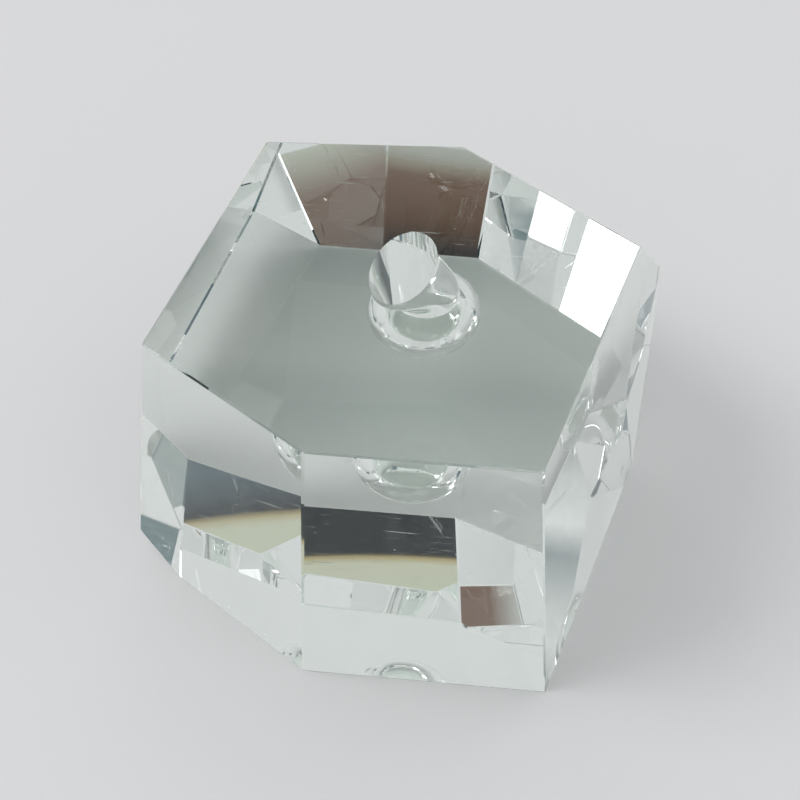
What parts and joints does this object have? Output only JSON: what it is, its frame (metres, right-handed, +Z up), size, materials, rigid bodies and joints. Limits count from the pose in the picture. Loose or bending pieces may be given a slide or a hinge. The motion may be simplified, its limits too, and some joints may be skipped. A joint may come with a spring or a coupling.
{
  "type": "faceted block bud vase",
  "caption": "Solid clear faceted acrylic display block with a bulb-shaped cavity that opens through an oval mouth in its top flat.",
  "frame": {"origin": "on the surface the block stands on, under the middle of its bounding box", "axes": "+Z up from the bottom flat to the top flat; -Y out of the front facet; +X to the right as seen from the front"},
  "size_m": [0.0748, 0.0738, 0.05],
  "materials": {
    "clear_acrylic": "polished clear, slightly green-grey in depth, with fine scratches"
  },
  "bodies": {
    "root": {"vase_block": "clear_acrylic"}
  },
  "joints": []
}
